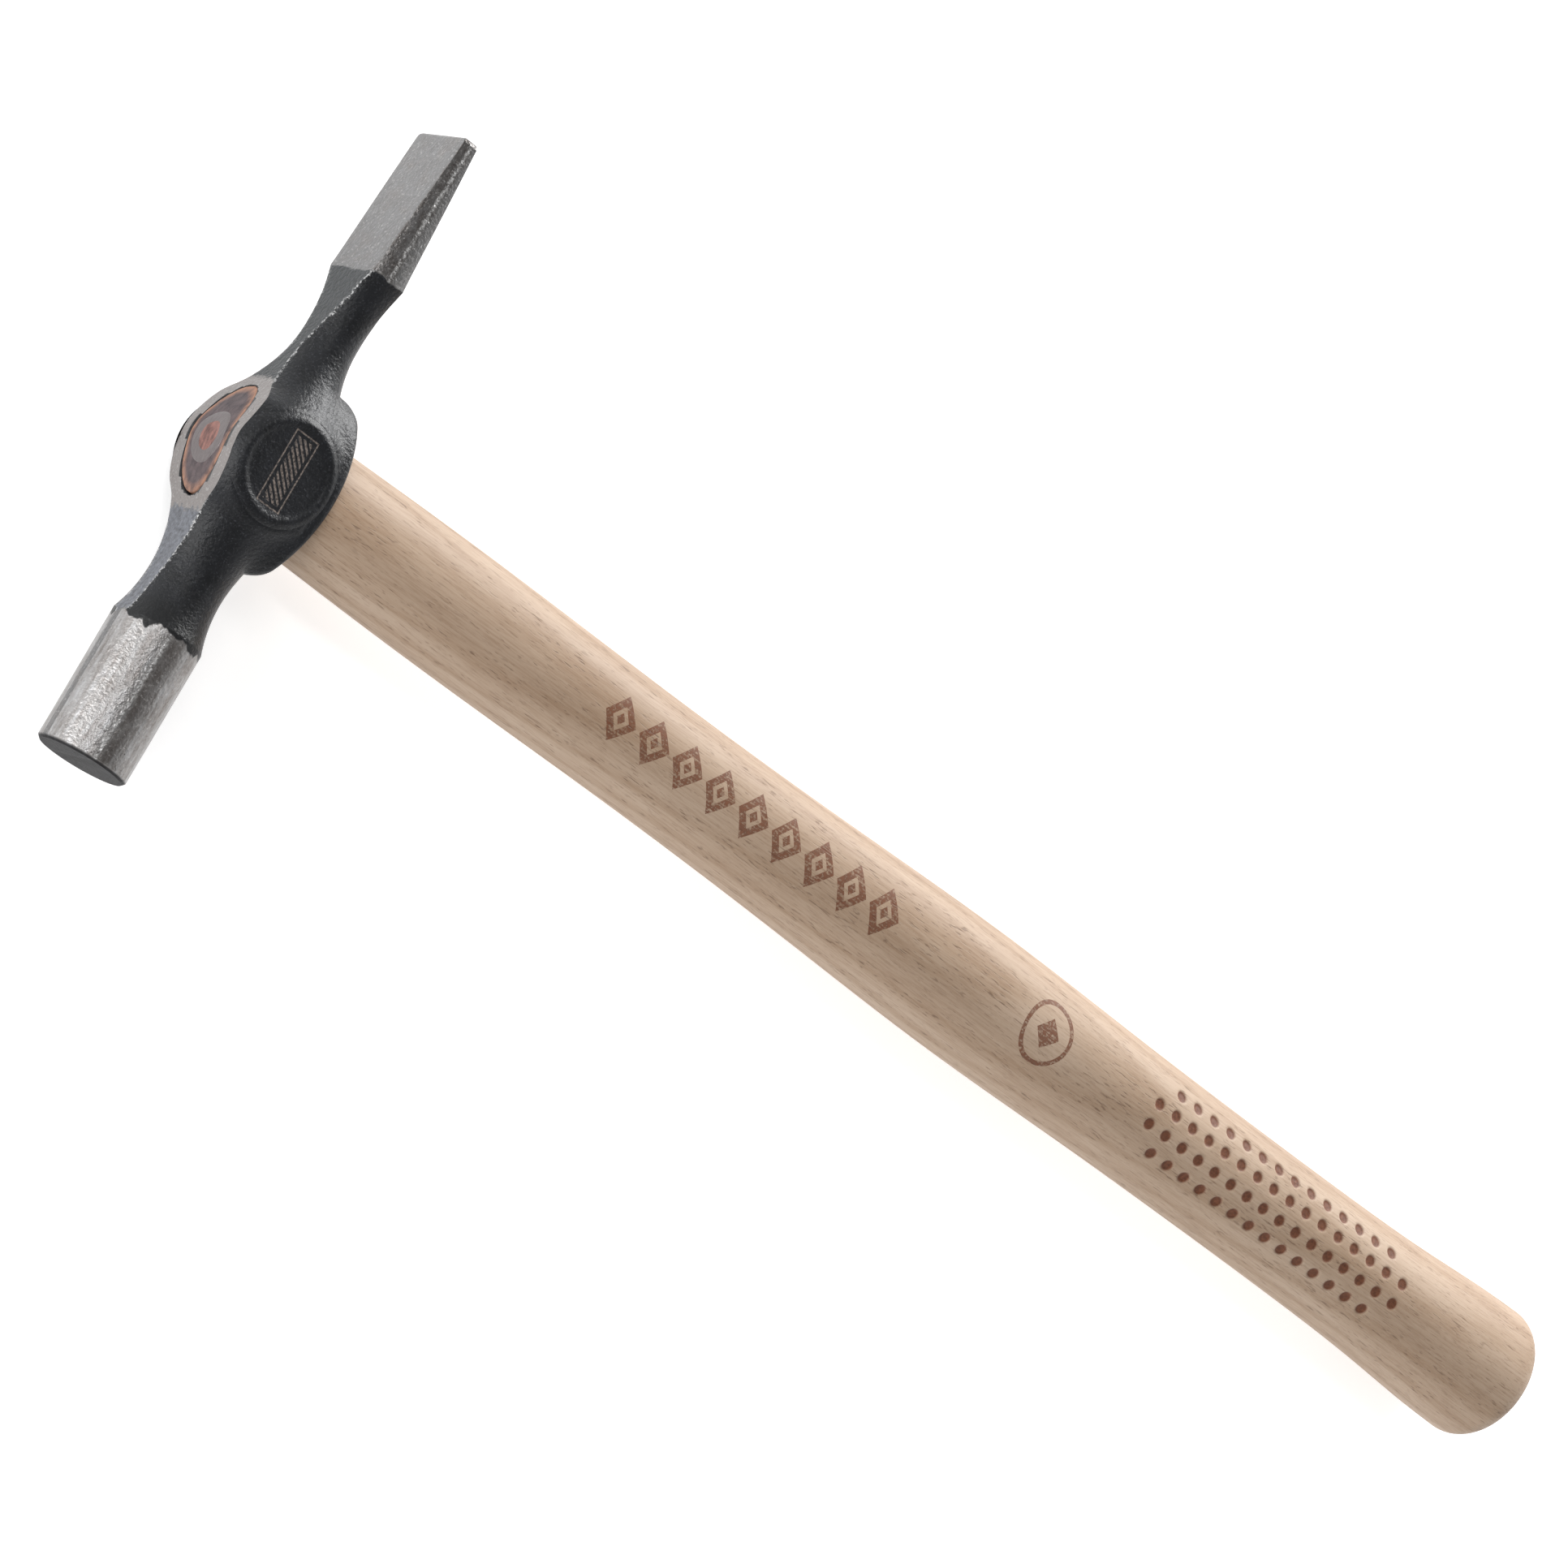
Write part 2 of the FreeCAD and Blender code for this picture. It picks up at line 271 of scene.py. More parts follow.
def flat_height(y):
    """Height of the flats above and below the head's axis."""
    wander = 0.05 * ripple(y, 3, 9.0)
    poll = arc_profile(y, (POLL_SHOULDER_Y, POLL_SHOULDER_HALF), (-BARREL_END_Y, CROWN_END_X),
                       POLL_FLAT_ARC, outward=False)
    pein = arc_profile(y, (BARREL_END_Y, CROWN_END_X), (PEIN_SHOULDER_Y, PEIN_ROOT_HALF),
                       PEIN_FLAT_ARC, outward=False)
    wedge = PEIN_ROOT_HALF + (y - PEIN_SHOULDER_Y) / (PEIN_TIP_Y - PEIN_SHOULDER_Y) * (
        PEIN_TIP_HALF - PEIN_ROOT_HALF)
    run_out = POLL_SHOULDER_HALF + (POLL_SHOULDER_Y - y) * RUN_OUT_SLOPE
    height = np.where(y < POLL_SHOULDER_Y, run_out, poll + wander)
    height = np.where(y >= 0, pein + wander, height)
    return np.where(y > PEIN_SHOULDER_Y, wedge, height)


def crown_height(y):
    """Height of the ground crown: two facets that meet in a soft ridge."""
    arc = CROWN_HEIGHT - CROWN_RADIUS + np.sqrt(np.maximum(CROWN_RADIUS ** 2 - y ** 2, 0))
    rise = CROWN_HEIGHT + RIDGE_LIFT - CROWN_END_X
    to_poll = CROWN_END_X + rise * (BARREL_END_Y + y) / (BARREL_END_Y + RIDGE_Y)
    to_pein = CROWN_END_X + rise * (BARREL_END_Y - y) / (BARREL_END_Y - RIDGE_Y)
    return ARC_SHARE * arc + (1 - ARC_SHARE) * soft_min(to_poll, to_pein, RIDGE_ROUNDING)


def collar_reach(y, turn):
    """Radius of the collar in the direction turn, or 0 beside it."""
    length = np.abs(y)
    arc = COLLAR_DEPTH - COLLAR_ARC + np.sqrt(COLLAR_ARC ** 2 - y ** 2)
    into_corner = np.clip(length - (COLLAR_HALF_LENGTH - COLLAR_CORNER), 0, COLLAR_CORNER)
    depth = arc - COLLAR_CORNER + np.sqrt(COLLAR_CORNER ** 2 - into_corner ** 2)
    width = (COLLAR_OVAL_Z - COLLAR_INSET) * np.sqrt(np.maximum(1 - (y / COLLAR_OVAL_Y) ** 2, 0.01))
    down = np.maximum(np.cos(turn), 1e-3)
    across = np.maximum(np.abs(np.sin(turn)), 1e-3)
    reach = soft_min(depth / down, width / across, COLLAR_ROUNDING)
    return np.where((length < COLLAR_HALF_LENGTH) & (np.cos(turn) > 0.01), reach, 0.0)


def head_stations():
    """Places along the head's axis, close together where its shape turns sharply."""
    marks = [POLL_FACE_Y + POLL_EDGE, POLL_SHOULDER_Y, -BARREL_END_Y, BARREL_END_Y,
             PEIN_SHOULDER_Y, PEIN_TIP_Y - PEIN_CORNER]
    even = np.linspace(POLL_FACE_Y + POLL_EDGE, PEIN_TIP_Y - 0.02, 300)
    lug = np.linspace(11.5, COLLAR_HALF_LENGTH + 0.06, 22)
    tip = PEIN_TIP_Y - PEIN_CORNER * (1 - np.sin(np.linspace(0.05, 1.5, 9)))
    places = np.unique(np.round(np.concatenate([marks, even, lug, -lug, tip]), 3))
    apart = np.concatenate([[True], np.diff(places) > 0.04])
    return places[apart]


def section_turns(crease):
    """Directions round half a section, with one on each crease."""
    def eased(start, finish, count):
        u = np.linspace(0, 1, count)
        return start + (finish - start) * (u - np.sin(2 * math.pi * u) / (2 * math.pi) * 0.9)

    foot = math.pi - crease
    strip = eased(math.pi, crease, 12)
    side = eased(crease, foot, 64)
    below = eased(foot, 0.0, 24)
    return np.concatenate([strip, side[1:], below[1:]]), len(strip)


def build_head():
    stations = head_stations()
    rings = []
    strips = []
    edges = []
    for y in stations:
        radius = float(turned_radius(np.array(y)))
        into_corner = y - PEIN_TIP_Y + PEIN_CORNER
        if into_corner > 0:
            radius -= PEIN_CORNER - math.sqrt(max(PEIN_CORNER ** 2 - into_corner ** 2, 0))
        top = float(crown_height(y) if abs(y) < BARREL_END_Y else flat_height(np.array(y)))
        bottom = CROWN_END_X if abs(y) < BARREL_END_Y else top
        tip_round = max(0.0, y - PEIN_TIP_Y + PEIN_TIP_ROUND)
        top -= tip_round ** 2
        bottom -= tip_round ** 2
        half_strip = max(math.sqrt(max(radius ** 2 - top ** 2, 0)), LEAST_STRIP)
        crease = math.pi - math.atan2(half_strip, min(top, radius))
        turns, strip_count = section_turns(crease)
        away = np.maximum(np.abs(np.cos(turns)), 1e-3)
        flat = np.where(np.cos(turns) < 0, top / away, bottom / away)
        crease_blend = np.interp(y, (PEIN_SHOULDER_Y - 1.0, PEIN_SHOULDER_Y + 3.0),
                                 (NECK_CREASE, PEIN_CREASE))
        reach = soft_min(np.full_like(turns, radius), flat, crease_blend)
        across = np.maximum(np.abs(np.sin(turns)), 1e-3)
        reach = soft_min(reach, CHEEK_FLAT / across, CHEEK_ROUNDING)
        reach = soft_max(reach, collar_reach(np.array(y), turns), COLLAR_FILLET)
        x = reach * np.cos(turns)
        z = reach * np.sin(turns)
        under_boss = np.clip((BOSS_RADIUS + BOSS_MARGIN - np.hypot(x, y)) / BOSS_FADE, 0, 1)
        highest = CHEEK_HALF - CHEEK_CLEARANCE
        ceiling = highest - under_boss * (highest - CHEEK_FLAT)
        z = np.clip(z, -ceiling, ceiling)
        ring = np.stack([x, np.full_like(x, y), z], axis=1)
        mirror = ring[-2:0:-1] * (1, 1, -1)
        rings.append(np.concatenate([ring, mirror]))
        strip = np.zeros(len(turns))
        strip[:strip_count] = 1
        strips.append(np.concatenate([strip, strip[-2:0:-1]]))
        edge = np.clip(1 - np.abs(turns - crease) * radius / WORN_WIDTH, 0, 1)
        edges.append(np.concatenate([edge, edge[-2:0:-1]]))
    columns = len(rings[0])
    poll_end = [rings[0] * (k, 1, k) + (0, POLL_FACE_Y - stations[0], 0)
                for k in (0.02, 0.35, 0.65, 1 - POLL_EDGE / POLL_RADIUS)]
    pein_end = [rings[-1] * (k, 1, k) + (0, 0.02, 0) for k in (0.9, 0.55, 0.02)]
    rows = poll_end + rings + pein_end
    none = np.zeros(columns)
    strips = [none] * len(poll_end) + strips + [none] * len(pein_end)
    edges = [none] * len(poll_end) + edges + [none] * len(pein_end)
    points = np.concatenate(rows)
    faces = grid_faces(len(rows), columns)
    faces.append(tuple(range(columns))[::-1])
    faces.append(tuple(range((len(rows) - 1) * columns, len(rows) * columns)))
    marks = {"strip": np.concatenate(strips), "edge": np.concatenate(edges)}
    return make_piece("forged_head", points, faces, marks, 24)


def cut_eye(head):
    """Opens the oval eye in the crown, with a boolean that is applied at once."""
    turns = np.linspace(0, 2 * math.pi, 144, endpoint=False)
    rim = np.stack([np.zeros_like(turns), np.cos(turns) * EYE_Y, np.sin(turns) * EYE_Z], axis=1)
    rows = [rim * (1, 1.02, 1.02) + (-CROWN_HEIGHT - 1.5, 0, 0), rim * (1, 0.985, 0.985) + (-4.5, 0, 0)]
    count = len(turns)
    faces = grid_faces(2, count)
    faces.append(tuple(range(count))[::-1])
    faces.append(tuple(range(count, 2 * count)))
    cutter = make_piece("eye_cutter", np.concatenate(rows), faces)
    trim = head.modifiers.new("eye", "BOOLEAN")
    trim.operation = "DIFFERENCE"
    trim.solver = "EXACT"
    trim.object = cutter
    bpy.context.view_layer.update()
    evaluated = head.evaluated_get(bpy.context.evaluated_depsgraph_get())
    trimmed = bpy.data.meshes.new_from_object(evaluated)
    head.modifiers.clear()
    head.data = trimmed
    bpy.data.objects.remove(cutter)
    return head


def build_boss(side):
    """The round boss of one cheek: a sunk disc inside a raised, rounded rim."""
    profile = [(0.02, 9.62), (3.0, 9.62), (6.0, 9.62), (6.4, 9.63), (6.7, 9.69), (6.95, 9.79),
               (7.2, 9.89), (7.45, 9.94), (7.75, 9.92), (8.05, 9.82), (8.35, 9.66), (8.7, 9.42),
               (9.1, 9.05), (9.6, 8.4)]
    turns = np.linspace(0, 2 * math.pi, 160, endpoint=False)
    rows = []
    for radius, height in profile:
        wander = 0.03 * np.sin(3 * turns + radius)
        rows.append(np.stack([
            radius * np.cos(turns), radius * np.sin(turns),
            side * (height + wander * (6.2 < radius < 7.0))], axis=1))
    points = np.concatenate(rows)
    faces = grid_faces(len(rows), len(turns), flip=side > 0)
    faces.append(tuple(range(len(turns)))[::-1] if side < 0 else tuple(range(len(turns))))
    name = "upper_cheek_boss" if side > 0 else "lower_cheek_boss"
    none = np.zeros(len(points))
    return make_piece(name, points, faces, {"strip": none, "edge": none}, 60)


# --- handle

def shaft_stations():
    grip_end = DOT_FIRST_X + DOT_PITCH_X * DOT_COLUMNS
    plain = np.arange(SHAFT[0][0], BUTT_X - BUTT_ROUND, 1.5)
    dotted = np.arange(DOT_FIRST_X - DOT_PITCH_X, grip_end, 0.28)
    rounding = BUTT_X - BUTT_DOME - BUTT_ROUND * (1 - np.sin(np.linspace(0, math.pi / 2, 14)))
    plain = plain[(plain < dotted[0]) | (plain > dotted[-1])]
    return np.unique(np.round(np.concatenate([plain, dotted, rounding]), 3))


def shaft_turns():
    """Directions round the shaft from +Z, closer together under the dots."""
    fine = np.linspace(-0.95, 0.95, 76)
    coarse = np.linspace(0.95, 2 * math.pi - 0.95, 62)[1:-1]
    return np.concatenate([fine, coarse])


def dot_mask(x, around):
    """1 inside each burnt dot, falling to 0 across its edge."""
    column = np.round((x - DOT_FIRST_X) / DOT_PITCH_X)
    row = np.round(around / DOT_PITCH_AROUND + (DOT_ROWS - 1) / 2)
    in_block = (column >= 0) & (column < DOT_COLUMNS) & (row >= 0) & (row < DOT_ROWS)
    end_column = (column == 0) | (column == DOT_COLUMNS - 1)
    outer_row = (row == 0) | (row == DOT_ROWS - 1)
    centre_x = DOT_FIRST_X + column * DOT_PITCH_X
    centre_around = (row - (DOT_ROWS - 1) / 2) * DOT_PITCH_AROUND
    distance = np.hypot(x - centre_x, around - centre_around)
    inside = np.clip((DOT_RADIUS + DOT_EDGE - distance) / (2 * DOT_EDGE), 0, 1)
    return np.where(in_block & ~(end_column & outer_row), inside, 0.0)


def tongue_shell():
    """The tongue's end grain, ground flush with the crown, and its sides."""
    turns = np.linspace(0, 2 * math.pi, 144, endpoint=False)
    gap = 0.10 + 0.38 * np.clip(-np.cos(turns + 0.25), 0, 1) ** 2 + 0.05 * ripple(turns, 5, 1.57)
    shares = np.concatenate([np.linspace(0.02, 0.96, 26), (0.985, 1.0)])
    rows = []
    for share in shares:
        y = share * (EYE_Y - gap) * np.cos(turns)
        z = share * (EYE_Z - 0.3 * gap) * np.sin(turns)
        sink = 0.05 + 0.03 * ripple(y * 1.3 + z, 8, 5.0) + (0.12 if share > 0.99 else 0.0)
        rows.append(np.stack([-crown_height(y) + sink, y, z], axis=1))
    edge = rows[-1]
    for depth in (0.6, 5.0):
        rows.append(np.stack([depth - crown_height(edge[:, 1]), edge[:, 1], edge[:, 2]], axis=1))
    count = len(turns)
    faces = grid_faces(len(rows), count)
    faces.append(tuple(range(count))[::-1])
    return np.concatenate(rows), faces


def build_handle():
    stations = shaft_stations()
    turns = shaft_turns()
    half_y = smooth_curve(stations, [(x, y) for x, y, _ in SHAFT])
    half_z = smooth_curve(stations, [(x, z) for x, _, z in SHAFT])
    into_round = np.clip(stations - (BUTT_X - BUTT_DOME - BUTT_ROUND), 0, BUTT_ROUND)
    inset = BUTT_ROUND - np.sqrt(BUTT_ROUND ** 2 - into_round ** 2)
    rows = []
    burns = []
    for x, wide, thick, cut in zip(stations, half_y, half_z, inset):
        mask = dot_mask(x, turns * thick) * (np.abs(turns) < 1)
        wide = wide - cut - DOT_DEPTH * mask
        thick = thick - cut - DOT_DEPTH * mask
        section = [np.full_like(turns, x), wide * np.sin(turns), thick * np.cos(turns)]
        rows.append(np.stack(section, axis=1))
        burns.append(mask)
    last = rows[-1]
    for share in (0.94, 0.8, 0.55, 0.28, 0.02):
        dome = BUTT_DOME * (1 - share ** 2)
        rows.append(last * (1, share, share) + (dome, 0, 0))
        burns.append(turns * 0)
    count = len(turns)
    faces = grid_faces(len(rows), count)
    faces.append(tuple(range(count))[::-1])
    faces.append(tuple(range((len(rows) - 1) * count, len(rows) * count)))
    shaft_points = np.concatenate(rows)
    tongue_points, tongue_faces = tongue_shell()
    first = len(shaft_points)
    faces += [tuple(corner + first for corner in face) for face in tongue_faces]
    points = np.concatenate([shaft_points, tongue_points])
    burn = np.concatenate([np.concatenate(burns), np.zeros(len(tongue_points))])
    return make_piece("ash_handle", points, faces, {"burn": burn}, 50)


def build_ring():
    """The steel ring wedge, ground off with the crown, its edges slightly burred."""
    turns = np.linspace(0, 2 * math.pi, 96, endpoint=False)
    profile = [(RING_BORE, 3.0), (RING_BORE, 0.12), (RING_BORE + 0.10, 0.02), (RING_BORE + 0.7, 0.0),
               (RING_OUTER - 0.6, 0.0), (RING_OUTER - 0.10, 0.02), (RING_OUTER, 0.12), (RING_OUTER, 3.0)]
    rows = []
    for radius, depth in profile:
        wobble = radius + 0.05 * np.sin(2 * turns + 1) + 0.03 * np.sin(5 * turns)
        y = RING_Y + wobble * np.cos(turns)
        z = wobble * np.sin(turns)
        rows.append(np.stack([-crown_height(y) + 0.01 + depth, y, z], axis=1))
    return make_piece("steel_ring", np.concatenate(rows), grid_faces(len(rows), len(turns)), None, 40)


# --- materials

class Nodes:
    """A short way to build one material's node tree."""

    def __init__(self, name):
        self.material = bpy.data.materials.new(name)
        self.material.use_nodes = True
        self.tree = self.material.node_tree
        self.tree.nodes.clear()
        self.output = self.tree.nodes.new("ShaderNodeOutputMaterial")
        self.shader = self.tree.nodes.new("ShaderNodeBsdfPrincipled")
        self.tree.links.new(self.shader.outputs[0], self.output.inputs["Surface"])

    def put(self, target, value):
        if isinstance(value, bpy.types.NodeSocket):
            self.tree.links.new(value, target)
        else:
            target.default_value = value

    def node(self, kind, inputs=None, **settings):
        made = self.tree.nodes.new("ShaderNode" + kind)
        for key, setting in settings.items():
            setattr(made, key, setting)
        for key, value in (inputs or {}).items():
            self.put(made.inputs[key], value)
        return made

    def math(self, operation, a, b=0.0, clamp=False):
        made = self.node("Math", {0: a, 1: b}, operation=operation, use_clamp=clamp)
        return made.outputs[0]

    def length(self, a, b):
        """The length of the vector (a, b)."""
        squares = self.math("ADD", self.math("MULTIPLY", a, a), self.math("MULTIPLY", b, b))
        return self.math("SQRT", squares)

    def vector(self, operation, a, b):
        return self.node("VectorMath", {0: a, 1: b}, operation=operation).outputs[0]

    def ramp(self, value, stops):
        made = self.node("ValToRGB", {"Fac": value})
        ramp = made.color_ramp
        while len(ramp.elements) < len(stops):
            ramp.elements.new(0.5)
        for element, (place, color) in zip(ramp.elements, stops):
            element.position = place
            element.color = (*color, 1.0)
        return made.outputs["Color"]

    def blend(self, factor, a, b):
        made = self.node("Mix", data_type="RGBA")
        self.put(made.inputs[0], factor)
        self.put(made.inputs[6], a)
        self.put(made.inputs[7], b)
        return made.outputs[2]

    def between(self, value, low, high):
        """0 below low, 1 above high, or the reverse if low is above high."""
        made = self.node("MapRange", {"Value": value, "From Min": low, "From Max": high})
        return made.outputs[0]

    def noise(self, vector, scale, detail=3.0, rough=0.5):
        made = self.node("TexNoise", {"Vector": vector, "Scale": scale, "Detail": detail, "Roughness": rough})
        return made.outputs["Fac"]

    def place(self):
        """The point in millimetres in the working frame."""
        spot = self.node("TexCoord").outputs["Object"]
        moved = self.vector("SUBTRACT", spot, tuple(ORIGIN))
        return self.vector("MULTIPLY", moved, (1 / MM,) * 3)

    def split(self, vector):
        return self.node("SeparateXYZ", {0: vector}).outputs

    def join(self, x, y, z):
        return self.node("CombineXYZ", {0: x, 1: y, 2: z}).outputs[0]

    def bump(self, height, distance, strength=1.0, normal=None):
        inputs = {"Height": height, "Distance": distance * MM, "Strength": strength}
        if normal is not None:
            inputs["Normal"] = normal
        return self.node("Bump", inputs).outputs[0]

    def finish(self, **inputs):
        for key, value in inputs.items():
            self.put(self.shader.inputs[key.replace("_", " ")], value)
        return self.material


def grey(level, warm=0.0):
    return (level * (1 + warm), level, level * (1 - warm), 1.0)


def stripe(n, value, pitch, share):
    """1 on evenly spaced stripes that cover this share of their pitch."""
    phase = n.math("FRACT", n.math("DIVIDE", value, pitch))
    return n.math("LESS_THAN", phase, share)


def within(n, value, half):
    return n.math("LESS_THAN", n.math("ABSOLUTE", value), half)


def label_mask(n, x, y, z):
    """A plain etched panel on the upper cheek: a frame filled with even hatching."""
    up = n.math("GREATER_THAN", z, PANEL_LOWEST_Z)
    outer = n.math("MULTIPLY", within(n, x, PANEL_HALF_X), within(n, y, PANEL_HALF_Y))
    inner = n.math("MULTIPLY", within(n, x, PANEL_HALF_X - PANEL_LINE),
                   within(n, y, PANEL_HALF_Y - PANEL_LINE))
    slanted = n.math("ADD", n.math("ADD", y, x), HATCH_START)
    bars = n.math("MULTIPLY", stripe(n, slanted, HATCH_PITCH, 0.5), within(n, x, HATCH_HALF_X))
    bars = n.math("MULTIPLY", bars, within(n, y, HATCH_HALF_Y))
    frame_line = n.math("SUBTRACT", outer, inner, clamp=True)
    return n.math("MULTIPLY", n.math("MAXIMUM", frame_line, bars), up)


def head_material():
    """Satin blue-black paint, and bare ground steel on poll, pein and crown."""
    n = Nodes("painted_and_ground_steel")
    spot = n.place()
    x, y, z = n.split(spot)[0:3]
    strip = n.node("Attribute", attribute_name="strip").outputs["Fac"]
    around = n.math("ARCTAN2", z, x)
    wander = n.noise(n.join(n.math("MULTIPLY", around, 7.0), n.math("MULTIPLY", y, 0.25), 0.0), 0.30, 2.0)
    ragged = n.noise(spot, 1.6, 3.0)
    edge_y = n.math("ADD", y, n.math("MULTIPLY", n.math("SUBTRACT", wander, 0.5), 5.5))
    edge_y = n.math("ADD", edge_y, n.math("MULTIPLY", n.math("SUBTRACT", ragged, 0.5), 0.5))
    on_poll = n.between(edge_y, -29.9, -30.2)
    tip_y = n.math("ADD", y, n.math("MULTIPLY", n.math("SUBTRACT", wander, 0.5), 1.6))
    on_pein = n.between(tip_y, 33.0, 33.25)
    crown_y = n.math("ADD", n.math("ABSOLUTE", y), n.math("MULTIPLY", n.math("SUBTRACT", ragged, 0.5), 3.0))
    on_crown = n.math("MULTIPLY", n.between(crown_y, 12.0, 11.2), n.between(strip, 0.45, 0.75))
    bare = n.math("MAXIMUM", n.math("MAXIMUM", on_poll, on_pein), on_crown)

    # worn paint on the crease beside the top flat
    crease = n.node("Attribute", attribute_name="edge").outputs["Fac"]
    chips = n.math("ADD", n.noise(spot, 1.9, 4.0, 0.8), n.math("MULTIPLY", crease, 0.16))
    worn = n.math("MULTIPLY", n.between(crease, 0.0, 0.5), n.between(chips, 0.63, 0.70))
    worn = n.math("MULTIPLY", worn, n.between(n.math("ABSOLUTE", y), 8.0, 12.0))

    peel = n.noise(spot, 1.5, 3.0, 0.6)
    dust = n.between(n.noise(spot, 3.4, 2.0), 0.58, 0.74)
    paint = n.ramp(n.noise(spot, 0.22, 3.0), [(0.3, (0.003, 0.0035, 0.0045)), (0.7, (0.009, 0.010, 0.0125))])
    # painted reflection: the paint on the top flats gets lighter colours that stand in for the pale floor and
    # light reflected in them, lighter still towards the poll
    flats_painted_reflection = n.ramp(peel, [(0.3, (0.008, 0.010, 0.011)), (0.7, (0.032, 0.036, 0.039))])
    poll_flats_painted_reflection = n.ramp(peel, [(0.3, (0.055, 0.058, 0.066)), (0.7, (0.150, 0.158, 0.180))])
    flats_painted_reflection = n.blend(n.between(y, 4.0, -6.0), flats_painted_reflection, poll_flats_painted_reflection)
    paint = n.blend(n.between(strip, 0.5, 0.9), paint, flats_painted_reflection)
    paint = n.blend(n.math("MULTIPLY", dust, 0.30), paint, (0.10, 0.105, 0.12, 1))
    thick = n.math("MULTIPLY", n.between(edge_y, -24.5, -27.5), n.between(strip, 0.3, 0.0))
    paint = n.blend(n.math("MULTIPLY", thick, 0.8), paint, (0.004, 0.0045, 0.005, 1))
    paint = n.blend(n.math("MULTIPLY", worn, 0.9), paint, grey(0.42))
    mark = label_mask(n, x, y, z)
    paint = n.blend(n.math("MULTIPLY", mark, n.between(n.noise(spot, 2.6, 2.0), 0.30, 0.62)), paint,
                    (0.19, 0.155, 0.135, 1))

    drawn_out = n.join(n.math("MULTIPLY", around, 7.5), n.math("MULTIPLY", y, 0.10), 0.0)
    lengthwise = n.noise(drawn_out, 1.0, 4.0, 0.6)
    mottled = n.noise(n.vector("MULTIPLY", spot, (0.9, 0.45, 0.9)), 1.0, 4.0, 0.7)
    on_barrel = n.between(y, 0.0, -10.0)
    drawn = n.math("MULTIPLY", on_barrel, 0.6)
    plain = n.math("MULTIPLY", mottled, n.math("SUBTRACT", 1.0, drawn))
    streaks = n.math("ADD", plain, n.math("MULTIPLY", lengthwise, drawn))
    turning = n.noise(n.join(n.math("MULTIPLY", around, 0.8), n.math("MULTIPLY", y, 9.0), 0.0), 1.0, 4.0, 0.7)
    blotch = n.noise(spot, 0.35, 3.0)
    steel = n.ramp(streaks, [(0.32, (0.17, 0.152, 0.142)), (0.5, (0.31, 0.30, 0.295)),
                             (0.70, (0.46, 0.46, 0.47))])
    # painted shade: the ground flats are darkened to stand in for the shadowed floor beside the head that
    # they reflect
    flats_painted_shade = n.between(strip, 0.4, 0.8)
    steel = n.blend(n.math("MULTIPLY", flats_painted_shade, 0.85), steel, (0.160, 0.160, 0.162, 1))
    steel = n.blend(n.math("MULTIPLY", on_crown, 0.85), steel, (0.27, 0.248, 0.240, 1))
    steel = n.blend(n.math("MULTIPLY", n.between(blotch, 0.5, 0.75), 0.30), steel, (0.19, 0.165, 0.15, 1))
    pein_side = n.math("MULTIPLY", n.between(y, 20.0, 30.0), n.between(strip, 0.5, 0.1))
    steel = n.blend(n.math("MULTIPLY", pein_side, 0.65), steel, (0.095, 0.088, 0.083, 1))
    # the forging's parting line: a patchy band of painted shade beside it on the poll, lighter steel past it
    # towards the handle, and a painted highlight of bright dashes along it
    from_line = n.math("ADD", n.math("SUBTRACT", x, n.math("MULTIPLY", y, 0.02)), 1.0)
    from_line = n.math("ADD", from_line, n.math("MULTIPLY", n.math("SUBTRACT", ragged, 0.5), 0.5))
    off_flat = n.between(strip, 0.4, 0.1)
    # painted shade: a darker band on the poll beside the line
    poll_painted_shade_band = n.between(n.math("ABSOLUTE", n.math("SUBTRACT", from_line, 1.5)), 1.6, 0.6)
    poll_painted_shade_band = n.math("MULTIPLY", n.math("MULTIPLY", poll_painted_shade_band, on_barrel), n.between(mottled, 0.30, 0.60))
    steel = n.blend(n.math("MULTIPLY", poll_painted_shade_band, 0.75), steel, (0.105, 0.088, 0.078, 1))
    below = n.math("MULTIPLY", n.between(from_line, 0.3, 0.9), n.math("SUBTRACT", 1.0, on_barrel))
    steel = n.blend(n.math("MULTIPLY", n.math("MULTIPLY", below, off_flat), 0.6), steel, grey(0.25))
    # painted highlight: near-white dashes along the line
    dashes = n.between(n.noise(spot, 2.4, 3.0, 0.7), 0.42, 0.56)
    painted_highlight_dashes = n.math("MULTIPLY", n.between(n.math("ABSOLUTE", from_line), 0.42, 0.08), dashes)
    steel = n.blend(n.math("MULTIPLY", n.math("MULTIPLY", painted_highlight_dashes, off_flat), 0.9), steel, grey(0.80, 0.01))
    tip_end = n.math("MULTIPLY", n.between(y, PEIN_TIP_Y - PEIN_CORNER - 0.3, PEIN_TIP_Y - 0.4), off_flat)
    steel = n.blend(n.math("MULTIPLY", tip_end, 0.85), steel, (0.030, 0.026, 0.024, 1))
    grains = n.noise(spot, 2.2, 3.0, 0.65)
    steel = n.blend(n.math("MULTIPLY", n.between(grains, 0.56, 0.72), 0.45), steel, grey(0.62, 0.02))
    speck = n.between(n.noise(spot, 1.9, 2.0), 0.69, 0.74)
    steel = n.blend(n.math("MULTIPLY", speck, 0.6), steel, (0.07, 0.06, 0.055, 1))
    # painted shade: the strike face is made near black to stand in for the dark surroundings it reflects
    face = n.between(y, POLL_FACE_Y + POLL_EDGE + 0.05, POLL_FACE_Y + POLL_EDGE - 0.25)
    steel = n.blend(n.math("MULTIPLY", face, 0.92), steel, (0.02, 0.02, 0.022, 1))

